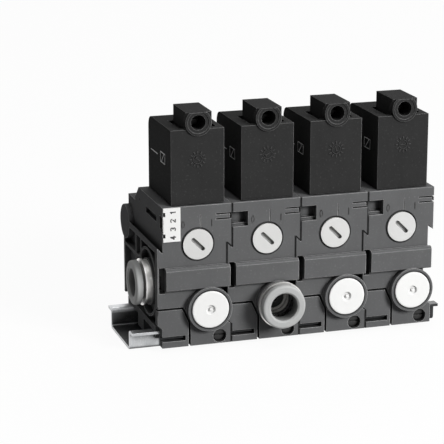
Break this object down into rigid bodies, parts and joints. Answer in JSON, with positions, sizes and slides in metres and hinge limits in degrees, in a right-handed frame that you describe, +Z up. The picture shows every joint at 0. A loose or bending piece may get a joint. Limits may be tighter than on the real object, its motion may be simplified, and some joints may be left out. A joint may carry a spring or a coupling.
{
  "type": "pneumatic solenoid valve block",
  "caption": "Ganged pilot-operated solenoid valve modules hooked side by side on a top-hat rail, with a shared supply gallery, push-in tube fittings and manual overrides.",
  "frame": {"origin": "centre of the rail's underside, where the rail lies on its panel", "axes": "+X along the rail to the right, +Y from the front face to the back, +Z up away from the rail"},
  "size_m": [0.1186, 0.0605, 0.0872],
  "materials": {
    "coil": "matt black moulding compound",
    "housing": "mid-grey glass-filled plastic with a fine texture",
    "light_plastic": "light grey plastic",
    "collar_plastic": "light grey acetal with a soft sheen",
    "white_plastic": "white plastic",
    "nickel": "bright nickel-plated brass",
    "zinc": "bright zinc-plated steel",
    "steel": "turned stainless steel",
    "brass": "turned brass",
    "copper": "lacquered copper wire, wound in layers",
    "rubber": "black nitrile rubber",
    "bronze": "sintered bronze"
  },
  "bodies": {
    "block": {"coil_1": "coil", "coil_2": "coil", "coil_3": "coil", "coil_4": "coil", "armature_tube_1": "steel", "armature_tube_2": "steel", "armature_tube_3": "steel", "armature_tube_4": "steel", "armature_spring_1": "steel", "armature_spring_2": "steel", "armature_spring_3": "steel", "armature_spring_4": "steel", "body_1": "housing", "body_2": "housing", "body_3": "housing", "body_4": "housing", "cartridge_1": "brass", "cartridge_2": "brass", "cartridge_3": "brass", "cartridge_4": "brass", "stem_spring_1": "steel", "stem_spring_2": "steel", "stem_spring_3": "steel", "stem_spring_4": "steel", "windings": "copper", "coil_terminals": "brass", "coil_screws": "zinc", "body_seals": "rubber", "clamp_screws": "zinc", "rail_clamps": "zinc", "gallery_couplers": "brass", "end_plugs": "housing", "exhaust_silencer": "bronze", "port_plug_1": "white_plastic", "port_plug_3": "white_plastic", "port_plug_4": "white_plastic", "outlet_fitting": "nickel", "outlet_collet": "steel", "supply_fitting": "nickel", "supply_collet": "steel", "marker_plate": "white_plastic", "din_rail": "zinc"},
    "override_1": {"override_1": "light_plastic"},
    "armature_1": {"armature_1": "steel"},
    "stem_1": {"stem_1": "steel", "stem_seals_1": "rubber"},
    "override_2": {"override_2": "light_plastic"},
    "armature_2": {"armature_2": "steel"},
    "stem_2": {"stem_2": "steel", "stem_seals_2": "rubber"},
    "override_3": {"override_3": "light_plastic"},
    "armature_3": {"armature_3": "steel"},
    "stem_3": {"stem_3": "steel", "stem_seals_3": "rubber"},
    "override_4": {"override_4": "light_plastic"},
    "armature_4": {"armature_4": "steel"},
    "stem_4": {"stem_4": "steel", "stem_seals_4": "rubber"},
    "outlet_collar": {"outlet_collar": "collar_plastic"},
    "supply_collar": {"supply_collar": "collar_plastic"}
  },
  "joints": [
    {"name": "override_turn_1", "type": "hinge", "parent": "block", "child": "override_1", "pos_m": [-0.03585, -0.021, 0.0399], "axis": [0, 1, 0], "range_deg": [0, 90]},
    {"name": "armature_lift_1", "type": "slide", "parent": "block", "child": "armature_1", "axis": [0, 0, 1], "range_m": [0, 0.0009], "stiffness_N_per_m": 500, "springref_m": -0.003, "deforming": ["armature_spring_1"]},
    {"name": "stem_stroke_1", "type": "slide", "parent": "block", "child": "stem_1", "axis": [0, 0, -1], "range_m": [0, 0.002], "stiffness_N_per_m": 1500, "springref_m": -0.003, "deforming": ["stem_spring_1"]},
    {"name": "override_turn_2", "type": "hinge", "parent": "block", "child": "override_2", "pos_m": [-0.00985, -0.021, 0.0399], "axis": [0, 1, 0], "range_deg": [0, 90]},
    {"name": "armature_lift_2", "type": "slide", "parent": "block", "child": "armature_2", "axis": [0, 0, 1], "range_m": [0, 0.0009], "stiffness_N_per_m": 500, "springref_m": -0.003, "deforming": ["armature_spring_2"]},
    {"name": "stem_stroke_2", "type": "slide", "parent": "block", "child": "stem_2", "axis": [0, 0, -1], "range_m": [0, 0.002], "stiffness_N_per_m": 1500, "springref_m": -0.003, "deforming": ["stem_spring_2"]},
    {"name": "override_turn_3", "type": "hinge", "parent": "block", "child": "override_3", "pos_m": [0.01615, -0.021, 0.0399], "axis": [0, 1, 0], "range_deg": [0, 90]},
    {"name": "armature_lift_3", "type": "slide", "parent": "block", "child": "armature_3", "axis": [0, 0, 1], "range_m": [0, 0.0009], "stiffness_N_per_m": 500, "springref_m": -0.003, "deforming": ["armature_spring_3"]},
    {"name": "stem_stroke_3", "type": "slide", "parent": "block", "child": "stem_3", "axis": [0, 0, -1], "range_m": [0, 0.002], "stiffness_N_per_m": 1500, "springref_m": -0.003, "deforming": ["stem_spring_3"]},
    {"name": "override_turn_4", "type": "hinge", "parent": "block", "child": "override_4", "pos_m": [0.04215, -0.021, 0.0399], "axis": [0, 1, 0], "range_deg": [0, 90]},
    {"name": "armature_lift_4", "type": "slide", "parent": "block", "child": "armature_4", "axis": [0, 0, 1], "range_m": [0, 0.0009], "stiffness_N_per_m": 500, "springref_m": -0.003, "deforming": ["armature_spring_4"]},
    {"name": "stem_stroke_4", "type": "slide", "parent": "block", "child": "stem_4", "axis": [0, 0, -1], "range_m": [0, 0.002], "stiffness_N_per_m": 1500, "springref_m": -0.003, "deforming": ["stem_spring_4"]},
    {"name": "outlet_collar_press", "type": "slide", "parent": "block", "child": "outlet_collar", "axis": [0, 1, 0], "range_m": [0, 0.0009], "stiffness_N_per_m": 600, "springref_m": -0.002},
    {"name": "supply_collar_press", "type": "slide", "parent": "block", "child": "supply_collar", "axis": [1, 0, 0], "range_m": [0, 0.0009], "stiffness_N_per_m": 600, "springref_m": -0.002}
  ]
}
